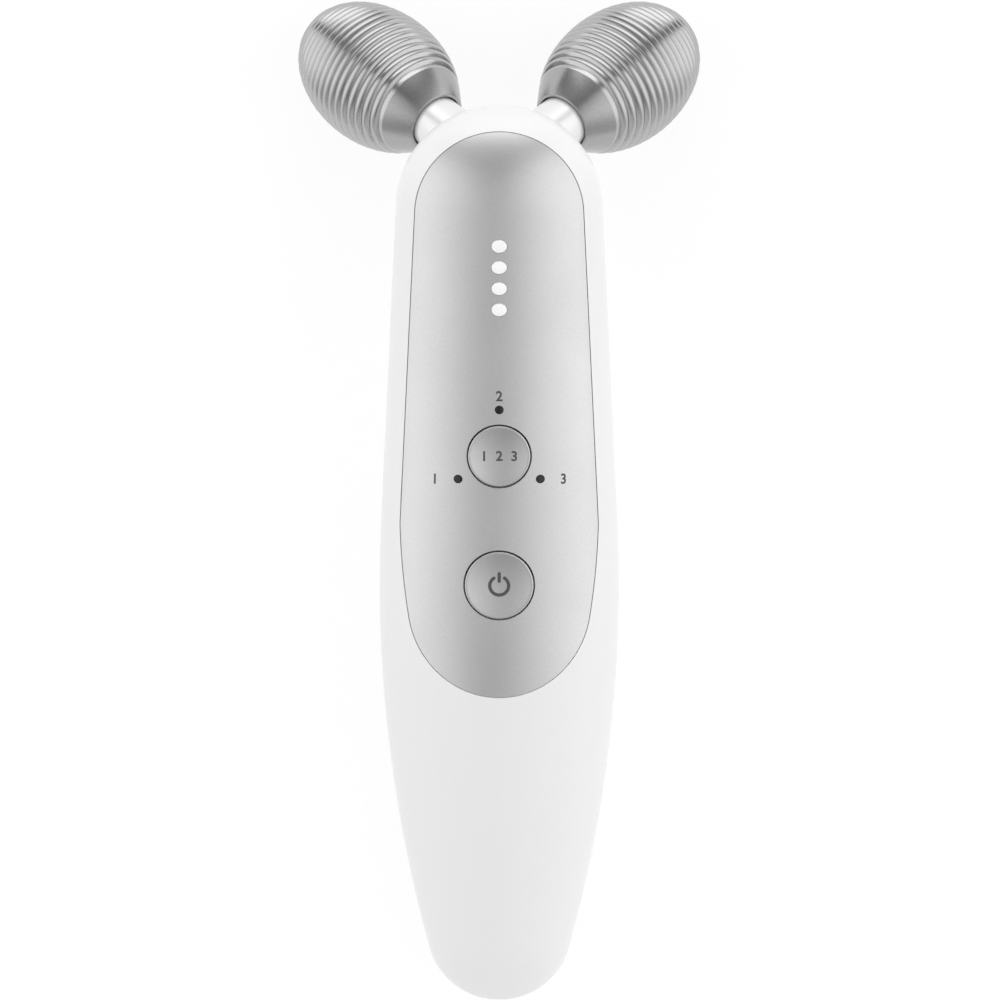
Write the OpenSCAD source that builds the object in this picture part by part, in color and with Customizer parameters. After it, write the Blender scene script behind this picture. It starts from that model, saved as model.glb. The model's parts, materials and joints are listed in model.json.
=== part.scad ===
// Hand-held facial toning device with two ribbed rollers on a forked neck.
// It lies on its back, on both rollers and the tail: +Y is the head end, +Z is up, the controls face up.
// Inside in_rest_pose() lengths run from the tail tip along Y and heights start at the parting plane.

/* [Body shells] */
// Length of the body from tail tip to head tip
body_length = 183.5; // [174:0.5:195]
// Width of the body at its widest
body_width = 48; // [45:0.5:52]
// Distance from the head tip back to the widest place
widest_back = 98; // [90:1:106]
// Radius of the tail in plan
tail_radius = 14.5; // [13:0.5:16.5]
// Radius of the head in plan
head_radius = 20.7; // [20.2:0.1:21.6]
// Depth of the front shell at the widest place
front_depth = 14.4; // [13.8:0.2:16]
// Depth of the rear shell at the widest place
rear_depth = 16.8; // [16.4:0.2:18.4]
// Wall of both shells
shell_wall = 2.2; // [1.8:0.1:2.4]

/* [Seal] */
// Distance from the outer edge to the seal
seal_inset = 0.7; // [0.6:0.05:0.9]
// Width of the seal
seal_width = 0.6; // [0.4:0.05:0.7]
// Height of the seal
seal_height = 0.6; // [0.4:0.1:1]

/* [Control panel] */
// Margin of body around the panel
panel_margin = 3.7; // [3.2:0.1:4.4]
// Thickness of the panel
panel_thickness = 0.9; // [0.6:0.1:1]
// Distance from the head tip back to the panel's lower end
panel_end_back = 118.3; // [116:0.1:121]
// Width of the panel at its widest
panel_width = 40; // [39:0.2:40.4]
// How much smaller the radius of its lower end is than half that width
panel_taper = 1.6; // [1:0.1:3]
// Distance from the head tip back to the panel's widest place
panel_widest_back = 80; // [75:1:85]
// Gap around the panel
panel_gap = 0.15; // [0.1:0.05:0.25]

/* [Buttons] */
// Diameter of the mode button
mode_button_d = 12.4; // [11:0.1:13]
// Distance from the head tip back to the mode button
mode_button_back = 68.8; // [67:0.1:70]
// Diameter of the power button
power_button_d = 13.7; // [12:0.1:14.2]
// Distance from the head tip back to the power button
power_button_back = 95.1; // [93:0.1:96]
// Gap around each button
button_gap = 0.35; // [0.25:0.05:0.45]
// Travel of each button
button_travel = 0.4; // [0.2:0.05:0.5]
// Depth of the dish in each button
dish_depth = 0.55; // [0.3:0.05:0.8]
// How far the button rims stand below the crown of the panel
button_drop = 0.1; // [0:0.05:0.3]

/* [Lights] */
// Number of level lights
level_light_count = 4; // [3:1:4]
// Spacing of the level lights
level_light_pitch = 4.3; // [4:0.1:4.5]
// Distance from the head tip back to the middle of the level lights
level_lights_back = 32.5; // [32:0.1:33]
// Width of one level light
level_light_w = 3.1; // [2.6:0.1:3.6]
// Length of one level light
level_light_l = 2.6; // [2.2:0.1:3]
// Distance from the mode button's centre to each mode light
mode_light_reach = 9.5; // [9.2:0.1:10]
// Diameter of one mode light
mode_light_d = 1.6; // [1.2:0.1:1.8]

/* [Rollers] */
// Half the length of the egg that the roller is cut from
roller_half_length = 20; // [19:0.1:21]
// Radius of the roller
roller_radius = 13.65; // [13:0.05:14]
// Radius of the roller at its mouth
roller_mouth_radius = 6.4; // [6.3:0.05:6.7]
// Distance from the widest place of the roller to its mouth
mouth_to_centre = 19.2; // [18.8:0.1:19.8]
// Length of the smooth collar behind the ribs, a plain cone
collar_length = 5.2; // [4.8:0.1:5.6]
// Spacing of the ribs along the axis
rib_pitch = 1.8; // [1.5:0.05:2.2]
// Depth of the grooves between ribs
groove_depth = 0.5; // [0.3:0.05:0.7]
// Length of the smooth tip beyond the last groove
roller_tip = 2.5; // [2:0.1:4]
// Wall of the ribbed shell
roller_wall = 2.2; // [2:0.1:2.4]

/* [Neck] */
// Distance from the head tip back to the point where the roller axes meet
junction_back = 13.8; // [13.4:0.1:15.5]
// Height of that point above the parting plane
junction_height = -2; // [-2.4:0.1:-1.6]
// Distance along each roller axis from that point to the roller's mouth
neck_length = 20.8; // [20.3:0.1:24.5]
// Angle of each roller axis out from the middle plane
roller_splay = 37.1; // [35.5:0.1:39]
// Angle of the roller axes back from the length of the body
roller_lean = 65.8; // [64:0.1:67]
// Radius of each visible neck sleeve
neck_radius = 5.5; // [5.2:0.05:5.6]
// Radius of the frame arm inside the sleeve
arm_radius = 3.5; // [3.2:0.05:3.8]
// Radius of the axle
axle_radius = 2; // [1.6:0.05:2.2]
// Outer radius of the bushes
bush_radius = 3.6; // [3.2:0.05:3.8]
// Outer radius of the bearing sleeve
bearing_radius = 4.6; // [4.4:0.05:5]
// Length of each bush
bush_length = 5; // [4:0.5:6]

/* [Board] */
// Width of the board
board_width = 22; // [21:0.5:22.4]
// Distance from the head tip back to the board's lower edge
board_start_back = 113; // [112:0.5:115]
// Distance from the head tip back to the board's upper edge
board_end_back = 22; // [21:0.1:22.5]
// Thickness of the board
board_thickness = 1.2; // [0.8:0.1:1.4]
// Height of the board's underside above the parting plane
board_height = 1.8; // [1.7:0.1:2.2]
// Width and length of each switch
switch_size = 6; // [5:0.5:6.5]
// Height of each switch housing
switch_height = 3.5; // [3:0.1:3.6]

/* [Battery] */
// Diameter of the cell
cell_d = 14; // [12:0.5:14]
// Length of the cell
cell_length = 50; // [40:1:50]
// Distance from the head tip back to the cell's lower end
cell_back = 122; // [121:1:124]
// Height of the cell's axis above the parting plane
cell_height = -6.1; // [-6.2:0.05:-6]

/* [Charging socket] */
// Radius of the socket's bore
socket_bore_radius = 1.8; // [1.2:0.05:1.9]
// Length of the socket's bore
socket_bore_length = 11; // [8:0.5:12]
// Radius of the socket's nose
socket_nose_radius = 3.2; // [2.6:0.1:3.3]
// Distance from the tail tip to the socket's mouth
socket_mouth_at = 2.4; // [2.2:0.1:3]
// Room round the plug where it passes through the shells
plug_room = 0.25; // [0.15:0.05:0.5]

/* [Hidden] */
$fn = 64;

LEFT = -1;
RIGHT = 1;
big = 60;        // longer than any cut needs
skin = 0.05;     // gap where a piece lies against a curved wall
slip = 0.1;      // radial clearance of a fixed piece in its hole
running = 0.03;  // radial clearance of the axle in its bushes
thrust_gap = 0.12;

// ---- places along the body, from the tail tip ----
widest_at = body_length - widest_back;
panel_end_at = body_length - panel_end_back;
panel_widest_at = body_length - panel_widest_back;
mode_button_at = body_length - mode_button_back;
power_button_at = body_length - power_button_back;
level_lights_at = body_length - level_lights_back;
junction_at = body_length - junction_back;
board_start_at = body_length - board_start_back;
board_end_at = body_length - board_end_back;
cell_at = body_length - cell_back;

// ---- outline of the body in plan: tail arc, side arc, head arc ----
half_w = body_width / 2;
head_centre = body_length - head_radius;
function side_radius(end_r, run, w) = (run ^ 2 + w ^ 2 - end_r ^ 2) / (2 * (w - end_r));
side_r = side_radius(tail_radius, widest_at - tail_radius, half_w);
side_x = half_w - side_r;
tail_turn = atan2(tail_radius - widest_at, -side_x);
taper = [side_x, widest_at - head_centre];
taper_turn = atan2(taper.y, taper.x) + acos((head_radius - side_r) / norm(taper));

function arc(centre, r, from, to, steps) =
    [for (i = [0:steps]) let (a = from + (to - from) * i / steps) centre + r * [cos(a), sin(a)]];
function body_side(inset) = concat(
    arc([0, tail_radius], tail_radius - inset, -90, tail_turn, 14),
    arc([side_x, widest_at], side_r - inset, tail_turn, taper_turn, 12),
    arc([0, head_centre], head_radius - inset, taper_turn, 90, 18));
function mirrored(points) = [for (i = [len(points) - 1:-1:0]) [-points[i].x, points[i].y]];

// half the body's width at a distance from the tail tip
function half_width(y) =
    y < tail_radius + tail_radius * sin(tail_turn) ? sqrt(max(0, tail_radius ^ 2 - (tail_radius - y) ^ 2)) :
    y < widest_at + side_r * sin(taper_turn) ? side_x + sqrt(side_r ^ 2 - (y - widest_at) ^ 2) :
    y < head_centre + head_radius * sin(taper_turn) ?
        (head_radius - (y - head_centre) * sin(taper_turn)) / cos(taper_turn) :
    sqrt(max(0, head_radius ^ 2 - (y - head_centre) ^ 2));
// height of the front surface above the parting plane
function front_height(x, y) = front_depth / half_w * sqrt(max(0, half_width(y) ^ 2 - x ^ 2));

module body_outline(inset) polygon(concat(body_side(inset), mirrored(body_side(inset))));
// the whole egg, as deep as one shell, drawn in by an inset
module form(inset, depth)
    scale([1, 1, (depth - inset) / (half_w - inset)]) rotate([-90, 0, 0])
        rotate_extrude($fn = 96) polygon(body_side(inset));
// what is left of it behind the parting plane, and in front of it
module rear_half(inset) difference() {
    form(inset, rear_depth);
    translate([-big, -1, 0]) cube([2 * big, body_length + 2, big]);
}
module front_half(inset) difference() {
    form(inset, front_depth);
    translate([-big, -1, -big]) cube([2 * big, body_length + 2, big]);
}

// ---- outline of the panel: the body's outline drawn in, closed by a rounder lower end ----
panel_half_w = panel_width / 2;
panel_end_radius = panel_half_w - panel_taper;
panel_end_centre = panel_end_at + panel_end_radius;
panel_side_r = side_radius(panel_end_radius, panel_widest_at - panel_end_centre, panel_half_w);
panel_side_x = panel_half_w - panel_side_r;
panel_turn = atan2(panel_end_centre - panel_widest_at, -panel_side_x);

function panel_side(inset) = concat(
    arc([0, panel_end_centre], panel_end_radius - inset, -90, panel_turn, 14),
    arc([panel_side_x, panel_widest_at], panel_side_r - inset, panel_turn, 0, 6),
    [[panel_half_w - inset, body_length]]);
module panel_outline(inset) intersection() {
    body_outline(panel_margin + inset);
    polygon(concat(panel_side(inset), mirrored(panel_side(inset))));
}

// ---- rest pose: the tilt at which the rollers and the tail touch the same table ----
junction = [0, junction_at, junction_height];
axis_out = [sin(roller_splay), cos(roller_splay) * cos(roller_lean), -cos(roller_splay) * sin(roller_lean)];
roller_centre = junction + (neck_length + mouth_to_centre) * axis_out;
function roller_reach(way) = roller_centre * way
    + sqrt((roller_half_length * (way * axis_out)) ^ 2 + roller_radius ^ 2 * (1 - (way * axis_out) ^ 2));
function tail_reach(way, depth) = tail_radius * way.y
    + tail_radius * norm([way.y, way.z * depth / half_w]);
function down(tilt) = [0, -sin(tilt), -cos(tilt)];
function ahead(tilt) = [0, cos(tilt), -sin(tilt)];
function rest_tilt(low, high, steps) = let (mid = (low + high) / 2)
    steps == 0 ? mid :
    roller_reach(down(mid)) > tail_reach(down(mid), rear_depth) ? rest_tilt(mid, high, steps - 1) :
    rest_tilt(low, mid, steps - 1);
tilt = rest_tilt(0, 40, 30);
lift = tail_reach(down(tilt), rear_depth);
centre_shift = (tail_reach(-ahead(tilt), front_depth) - roller_reach(ahead(tilt))) / 2;

module in_rest_pose() translate([0, centre_shift, lift]) rotate([tilt, 0, 0]) children();
// +Z runs out along a roller's axis, from the point where the two axes meet
module to_neck(side) translate(junction)
    rotate([-90 - roller_lean, 0, 0]) rotate([0, side * roller_splay, 0]) children();
module on_neck(side) in_rest_pose() to_neck(side) children();

module at_each(places) for (p = places) translate([p.x, p.y, 0]) children();
module slab(x, y0, y1, z0, z1) translate([-x, y0, z0]) cube([2 * x, y1 - y0, z1 - z0]);
module post(r, z0, z1) translate([0, 0, z0]) cylinder(r = r, h = z1 - z0);
module ring(outer, inner, z0, z1) difference() {
    post(outer, z0, z1);
    post(inner, z0 - 1, z1 + 1);
}

// ---- board, switches and buttons, stacked up from the board ----
board_top = board_height + board_thickness;
switch_top = board_top + switch_height;
plunger_radius = 1.75;
plunger_rise = 1.1;
plunger_top = switch_top + plunger_rise;
plunger_bottom = board_top + 1;
stem_radius = 2;
guide_depth = 4.2;
guide_wall = 1.2;
flange_width = 1.1;
flange_thickness = 0.8;
flange_gap = 0.4;
button_rim = 0.3;
mode_hole_r = mode_button_d / 2 + button_gap;
power_hole_r = power_button_d / 2 + button_gap;
function button_top(at) = front_height(0, at) - button_drop;
function guide_bottom(at) = button_top(at) - guide_depth;

module button(d, at) {
    top = button_top(at);
    flange_top = guide_bottom(at) - flange_gap;
    dish_r = d / 2 - button_rim;
    dish_ball = (dish_r ^ 2 + dish_depth ^ 2) / (2 * dish_depth);
    translate([0, at, 0]) {
        difference() {
            post(d / 2, flange_top - 0.1, top);
            translate([0, 0, top - dish_depth + dish_ball]) sphere(r = dish_ball, $fn = 180);
        }
        post(d / 2 + flange_width, flange_top - flange_thickness, flange_top);
        post(stem_radius, plunger_top, flange_top);
    }
}
module switch_housing(at) difference() {
    translate([0, at, 0]) slab(switch_size / 2, -switch_size / 2, switch_size / 2, board_top, switch_top);
    translate([0, at, 0]) post(plunger_radius + slip, plunger_bottom - button_travel - slip, big);
}
module plunger(at) translate([0, at, 0]) post(plunger_radius, plunger_bottom, plunger_top);

// ---- lights ----
level_places = [for (i = [0:level_light_count - 1])
    [0, level_lights_at + (i - (level_light_count - 1) / 2) * level_light_pitch]];
mode_places = [for (a = [90, 210, 330])
    [mode_light_reach * cos(a), mode_button_at + mode_light_reach * sin(a)]];
led_height = 0.7;
led_gap = 0.4;
guide_low = board_top + led_height + led_gap;
guide_thickness = 2.2;
guide_end = 1;
guide_leg = 0.8;
mode_feet = [for (a = [30, 150, 270])
    [mode_light_reach * cos(a), mode_button_at + mode_light_reach * sin(a)]];
mode_foot_radius = 0.6;
mode_ring_gap = 1.4;
mode_ring_low = board_top + led_height + mode_ring_gap;
mode_ring_width = 1.4;
mode_ring_thickness = 1.4;

module oval(grow, z0, z1) translate([0, 0, z0]) linear_extrude(z1 - z0)
    scale([level_light_w / 2 + grow, level_light_l / 2 + grow]) circle(r = 1);

// ---- screws ----
// both sides of the middle, at each height in a list
function pairs(x, heights) = [for (y = heights, side = [LEFT, RIGHT]) [side * x, y]];
case_screw_x = 14.6;
case_screw_low_back = 105;
case_screw_high_back = 48;
case_screw_places = pairs(case_screw_x,
    [body_length - case_screw_low_back, body_length - case_screw_high_back]);
case_boss_radius = 2.8;
case_seat = 6;
case_screw_end = -8;
board_screw_x = 8.3;
board_screw_low_inset = 6.5;
board_screw_high_inset = 22;
board_screw_places = pairs(board_screw_x,
    [board_start_at + board_screw_low_inset, board_end_at - board_screw_high_inset]);
board_screw_end = board_top + 4.5;
board_post_radius = 2.2;
inner_frame_screw_x = 10.5;
inner_frame_screw_back = 10.5;
outer_frame_screw_x = 13.5;
outer_frame_screw_back = 2;
frame_screw_places = concat(pairs(inner_frame_screw_x, [junction_at - inner_frame_screw_back]),
    pairs(outer_frame_screw_x, [junction_at - outer_frame_screw_back]));
frame_boss_radius = 2.3;
frame_bottom = -5;
frame_top = -1.5;
frame_screw_end = frame_bottom - 2.5;
boss_bite = 0.2;    // how far a boss runs into its wall
pilot_spare = 0.5;  // how far a hole runs past what stands in it
m2_shank = 0.95;
m2_hole = 1.15;
m2_pilot = 1;
m2_head = 1.9;
m2_head_hole = 2.1;
m2_head_height = 1.2;

module screw(head_under, shank_end) {
    post(m2_head, head_under, head_under + m2_head_height);
    post(m2_shank, shank_end, head_under);
}

// ---- charging socket, in the tail on the parting plane ----
socket_half = 4;
socket_step_at = 7;
socket_end_at = 16;
seal_end_gap = 0.3;
module along_tail(r, y0, y1) translate([0, y0, 0]) rotate([-90, 0, 0]) cylinder(r = r, h = y1 - y0);
// the plug's way in, and room for the socket's nose behind it
module socket_way() {
    along_tail(socket_bore_radius + plug_room, -1, socket_step_at);
    along_tail(socket_nose_radius + slip, socket_mouth_at - slip, socket_step_at);
}

// ---- shells ----
module control_holes() {
    translate([0, mode_button_at, 0]) post(mode_hole_r, 0, big);
    translate([0, power_button_at, 0]) post(power_hole_r, 0, big);
    at_each(level_places) oval(slip, 0, big);
    at_each(mode_places) post(mode_light_d / 2 + slip, 0, big);
}
module front_shell() color("white") in_rest_pose() difference() {
    union() {
        difference() {
            front_half(0);
            form(shell_wall, front_depth);
        }
        intersection() {
            union() {
                translate([0, mode_button_at, 0])
                    post(mode_hole_r + guide_wall, guide_bottom(mode_button_at), big);
                translate([0, power_button_at, 0])
                    post(power_hole_r + guide_wall, guide_bottom(power_button_at), big);
                at_each(case_screw_places) post(case_boss_radius, 0, big);
                at_each(board_screw_places) post(board_post_radius, board_top, big);
                slab(socket_half - 1, socket_step_at + 1, socket_end_at - 1, socket_half, big);
            }
            front_half(shell_wall - boss_bite);
        }
    }
    difference() {
        linear_extrude(big) panel_outline(0);
        form(panel_thickness + skin, front_depth);
    }
    control_holes();
    at_each(case_screw_places) {
        post(m2_hole, -1, big);
        post(m2_head_hole, case_seat, big);
    }
    at_each(board_screw_places) post(m2_pilot, board_top - 1, board_screw_end + pilot_spare);
    socket_way();
}

module rear_shell() color("white") in_rest_pose() difference() {
    union() {
        difference() {
            rear_half(0);
            form(shell_wall, rear_depth);
        }
        intersection() {
            union() {
                at_each(case_screw_places) post(case_boss_radius, -big, 0);
                at_each(frame_screw_places) post(frame_boss_radius, -big, frame_bottom);
                slab(socket_half - 1, socket_step_at + 1, socket_end_at - 1, -big, -socket_half);
            }
            rear_half(shell_wall - boss_bite);
        }
    }
    seal_ring(skin, -seal_height - skin, 1);
    at_each(case_screw_places) post(m2_pilot, case_screw_end - pilot_spare, 1);
    at_each(frame_screw_places) post(m2_pilot, frame_screw_end - pilot_spare, frame_bottom + 1);
    socket_way();
    for (side = [LEFT, RIGHT]) to_neck(side)
        post(neck_radius + slip, sleeve_start - pilot_spare, neck_length);
}

module seal_ring(grow, z0, z1) difference() {
    translate([0, 0, z0]) linear_extrude(z1 - z0) difference() {
        body_outline(seal_inset - grow);
        body_outline(seal_inset + seal_width + grow);
    }
    along_tail(socket_bore_radius + plug_room + seal_end_gap - grow, -1, socket_step_at);
}
module case_seal() color("dimgray") in_rest_pose() seal_ring(0, -seal_height, 0);

module control_panel() color("silver") in_rest_pose() difference() {
    intersection() {
        difference() {
            front_half(0);
            form(panel_thickness, front_depth);
        }
        linear_extrude(big) panel_outline(panel_gap);
    }
    control_holes();
}

// ---- controls ----
module mode_button() color("silver") in_rest_pose() button(mode_button_d, mode_button_at);
module power_button() color("silver") in_rest_pose() button(power_button_d, power_button_at);
module mode_switch() color("dimgray") in_rest_pose() switch_housing(mode_button_at);
module power_switch() color("dimgray") in_rest_pose() switch_housing(power_button_at);
module mode_plunger() color("ivory") in_rest_pose() plunger(mode_button_at);
module power_plunger() color("ivory") in_rest_pose() plunger(power_button_at);

module level_light_guide() color("white") in_rest_pose() {
    run = (level_light_count - 1) / 2 * level_light_pitch + level_light_l / 2 + guide_end;
    translate([0, level_lights_at, 0]) {
        slab(level_light_w, -run, run, guide_low, guide_low + guide_thickness);
        slab(level_light_w, -run, -run + guide_leg, board_top, guide_low);
        slab(level_light_w, run - guide_leg, run, board_top, guide_low);
    }
    intersection() {
        at_each(level_places) oval(0, guide_low, big);
        form(skin, front_depth);
    }
}
module mode_light_guide() color("black") in_rest_pose() {
    translate([0, mode_button_at, 0])
        ring(mode_light_reach + mode_ring_width, mode_light_reach - mode_ring_width / 2,
            mode_ring_low, mode_ring_low + mode_ring_thickness);
    at_each(mode_feet) post(mode_foot_radius, board_top, mode_ring_low + mode_ring_thickness / 2);
    intersection() {
        at_each(mode_places) post(mode_light_d / 2, mode_ring_low, big);
        form(skin, front_depth);
    }
}

// ---- board and what is on it ----
led_half_width = 0.8;
led_half_length = 0.4;
coil_radius = 3.2;
coil_rim = 0.8;
coil_height = 3;
core_height = 2.4;
part_x = 5.4;
parts_above_mode = 16.8;
parts_at = mode_button_at + parts_above_mode;
capacitor_half_width = 1.6;
capacitor_half_length = 0.8;
capacitor_height = 1.3;
capacitor_spacing = 4;
chip_size = 7;
chip_height = 1;
chip_above_power = 12;
chip_at = power_button_at + chip_above_power;
connector_inset = 4;
connector_at = board_start_at + connector_inset;
connector_half_width = 3.5;
connector_half_length = 2.5;
connector_height = 3.2;
module main_board() color("darkgreen") in_rest_pose() difference() {
    slab(board_width / 2, board_start_at, board_end_at, board_height, board_top);
    at_each(board_screw_places) post(m2_hole, 0, big);
}
module level_leds() color("lightyellow") in_rest_pose() at_each(level_places)
    slab(led_half_width, -led_half_length, led_half_length, board_top, board_top + led_height);
module mode_leds() color("lightyellow") in_rest_pose() at_each(mode_places)
    slab(led_half_width, -led_half_length, led_half_length, board_top, board_top + led_height);
module main_chip() color("black") in_rest_pose() translate([0, chip_at, 0])
    slab(chip_size / 2, -chip_size / 2, chip_size / 2, board_top, board_top + chip_height);
module boost_coil() color("saddlebrown") in_rest_pose() translate([-part_x, parts_at, 0]) {
    ring(coil_radius, coil_radius - coil_rim, board_top, board_top + coil_height);
    post(coil_radius - coil_rim, board_top, board_top + core_height);
}
module output_capacitors() color("goldenrod") in_rest_pose()
    at_each([[part_x, parts_at - capacitor_spacing / 2], [part_x, parts_at + capacitor_spacing / 2]])
        slab(capacitor_half_width, -capacitor_half_length, capacitor_half_length,
            board_top, board_top + capacitor_height);
module battery_connector() color("ivory") in_rest_pose() translate([0, connector_at, 0])
    slab(connector_half_width, -connector_half_length, connector_half_length,
        board_top, board_top + connector_height);
module board_screws() color("gray") in_rest_pose() at_each(board_screw_places) {
    post(m2_head, board_height - m2_head_height, board_height);
    post(m2_shank, board_height, board_screw_end);
}

// ---- battery ----
cell_end_at = cell_at + cell_length;
cradle_half = 9;
cradle_lip = 2.5;
cell_cap = 1;
pad_half_width = 5;
pad_inset = 8;
module battery_cell() color("royalblue") in_rest_pose() translate([0, 0, cell_height]) {
    along_tail(cell_d / 2, cell_at, cell_end_at - cell_cap);
    along_tail(cell_d / 5, cell_end_at - cell_cap, cell_end_at);
}
module battery_cradle() color("gainsboro") in_rest_pose() difference() {
    intersection() {
        slab(cradle_half, cell_at - cradle_lip, cell_end_at + cradle_lip, -big, cell_height);
        form(shell_wall + slip, rear_depth);
    }
    translate([0, 0, cell_height]) along_tail(cell_d / 2 + skin, cell_at - skin, cell_end_at + skin);
}
module battery_pad() color("slategray") in_rest_pose()
    slab(pad_half_width, cell_at + pad_inset, cell_end_at - pad_inset,
        cell_height + cell_d / 2, board_height - skin);

module charge_socket() color("dimgray") in_rest_pose() difference() {
    union() {
        along_tail(socket_nose_radius, socket_mouth_at, socket_step_at);
        slab(socket_half, socket_step_at, socket_end_at, -socket_half, socket_half);
    }
    along_tail(socket_bore_radius, socket_mouth_at - 1, socket_mouth_at + socket_bore_length);
}

// ---- forked neck: places along each roller axis, from where the axes meet ----
roller_mid = neck_length + mouth_to_centre;
sleeve_start = 8;
mouth_depth = 3.4;
mouth_floor = neck_length + mouth_depth;
arm_end = mouth_floor - 0.6;
sleeve_end = mouth_floor - 0.5;
washer_thickness = 0.4;
bearing_start = mouth_floor;
bearing_end = roller_mid + 14.2;
inner_bush_start = arm_end + washer_thickness + 2 * thrust_gap;
outer_bush_start = roller_mid + 3;
clip_start = outer_bush_start + bush_length + 2 * thrust_gap;
clip_bite = 0.4;
clip_thickness = 0.6;
axle_start = 4;
axle_end = clip_start + 2;
shoulder_radius = 4.6;
lead_bore = 2.4;
frame_half_width = 17;
frame_gap = 0.3;
frame_start_back = 14;
frame_start_at = junction_at - frame_start_back;
mouth_radius = roller_mouth_radius - 0.25;

module neck_frame() color("gainsboro") in_rest_pose() difference() {
    union() {
        difference() {
            intersection() {
                slab(frame_half_width, frame_start_at, body_length, frame_bottom, frame_top);
                form(shell_wall + frame_gap, rear_depth);
            }
            for (side = [LEFT, RIGHT]) to_neck(side) post(neck_radius + slip, sleeve_start, big);
        }
        for (side = [LEFT, RIGHT]) to_neck(side) {
            post(shoulder_radius, 0, sleeve_start);
            post(arm_radius, 0, arm_end);
        }
    }
    for (side = [LEFT, RIGHT]) to_neck(side) {
        post(axle_radius, 0, big);
        post(lead_bore, -big / 4, axle_start);
    }
    at_each(frame_screw_places) post(m2_hole, -big, big);
}
module frame_screws() color("gray") in_rest_pose() at_each(frame_screw_places)
    screw(frame_top, frame_screw_end);
module case_screws() color("gray") in_rest_pose() at_each(case_screw_places)
    screw(case_seat, case_screw_end);

module neck_sleeve(side) color("whitesmoke") on_neck(side)
    ring(neck_radius, arm_radius + skin, sleeve_start, sleeve_end);
module axle(side) color("gray") on_neck(side) difference() {
    post(axle_radius, axle_start, axle_end);
    ring(axle_radius + 1, axle_radius - clip_bite, clip_start, clip_start + clip_thickness);
}

// ---- rollers: an egg about the axis, ending in a cone at the mouth ----
function egg_radius(u, drawn_in) = (roller_radius - drawn_in)
    * sqrt(max(0, 1 - (u / (roller_half_length - drawn_in)) ^ 2));
function egg_normal(u) = let (r = egg_radius(u, 0), n = [r / roller_radius ^ 2, u / roller_half_length ^ 2])
    n / norm(n);
function egg_point(u, cut) = [egg_radius(u, 0), roller_mid + u] - cut * egg_normal(u);
collar_edge = collar_length - mouth_to_centre;
rib_count = floor((roller_half_length - roller_tip - collar_edge - rib_pitch / 2) / rib_pitch);
rib_phases = [0, 0.1, 0.28, 0.5, 0.72, 0.9];
rib_points = [for (k = [0:rib_count - 1], f = rib_phases)
    egg_point(collar_edge + (k + 0.5 + f) * rib_pitch, groove_depth * (1 - abs(sin(180 * f))))];
last_groove = collar_edge + (rib_count + 0.5) * rib_pitch;
tip_points = [for (a = [0:0.1:1]) egg_point(last_groove
    + (roller_half_length - last_groove) * sin(90 * a), a == 0 ? groove_depth : 0)];
boss_start = 11.5;
spigot_length = 2.5;
cavity_start = collar_edge;
spigot_radius = egg_radius(collar_edge, roller_wall);
cavity_points = [for (i = [0:8]) let (u = cavity_start + (boss_start - cavity_start) * i / 8)
    [egg_radius(u, roller_wall), roller_mid + u]];
module ribbed_shell(side) color("silver") on_neck(side) difference() {
    rotate_extrude($fn = 96) polygon(concat([[0, roller_mid + collar_edge], egg_point(collar_edge, 0)],
        rib_points, tip_points));
    rotate_extrude() polygon(concat([[0, roller_mid + cavity_start - 1],
        [spigot_radius, roller_mid + cavity_start - 1]], cavity_points, [[0, roller_mid + boss_start]]));
    post(bearing_radius, roller_mid, bearing_end);
}
module roller_collar(side) color("silver") on_neck(side) difference() {
    rotate_extrude($fn = 96) polygon([[0, neck_length], [roller_mouth_radius, neck_length],
        egg_point(collar_edge, 0), [spigot_radius, roller_mid + collar_edge],
        [spigot_radius, roller_mid + collar_edge + spigot_length],
        [0, roller_mid + collar_edge + spigot_length]]);
    post(mouth_radius, neck_length - 1, mouth_floor);
    post(bearing_radius, mouth_floor - 1, big);
}
module bearing_sleeve(side) color("goldenrod") on_neck(side)
    ring(bearing_radius, bush_radius, bearing_start, bearing_end);
module bush(side, start) color("peru") on_neck(side)
    ring(bush_radius, axle_radius + running, start, start + bush_length);
module thrust_washer(side) color("dimgray") on_neck(side)
    ring(bush_radius - 0.3, axle_radius + skin, arm_end, arm_end + washer_thickness);
module axle_clip(side) color("gray") on_neck(side) difference() {
    groove_radius = axle_radius - clip_bite;
    ring(bush_radius - 0.6, groove_radius, clip_start, clip_start + clip_thickness);
    translate([0, -groove_radius, clip_start - 1]) cube([big, 2 * groove_radius, 2]);
}

module left_neck_sleeve() neck_sleeve(LEFT);
module right_neck_sleeve() neck_sleeve(RIGHT);
module left_axle() axle(LEFT);
module right_axle() axle(RIGHT);
module left_ribbed_shell() ribbed_shell(LEFT);
module right_ribbed_shell() ribbed_shell(RIGHT);
module left_roller_collar() roller_collar(LEFT);
module right_roller_collar() roller_collar(RIGHT);
module left_bearing_sleeve() bearing_sleeve(LEFT);
module right_bearing_sleeve() bearing_sleeve(RIGHT);
module left_inner_bush() bush(LEFT, inner_bush_start);
module right_inner_bush() bush(RIGHT, inner_bush_start);
module left_outer_bush() bush(LEFT, outer_bush_start);
module right_outer_bush() bush(RIGHT, outer_bush_start);
module left_thrust_washer() thrust_washer(LEFT);
module right_thrust_washer() thrust_washer(RIGHT);
module left_axle_clip() axle_clip(LEFT);
module right_axle_clip() axle_clip(RIGHT);

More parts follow.
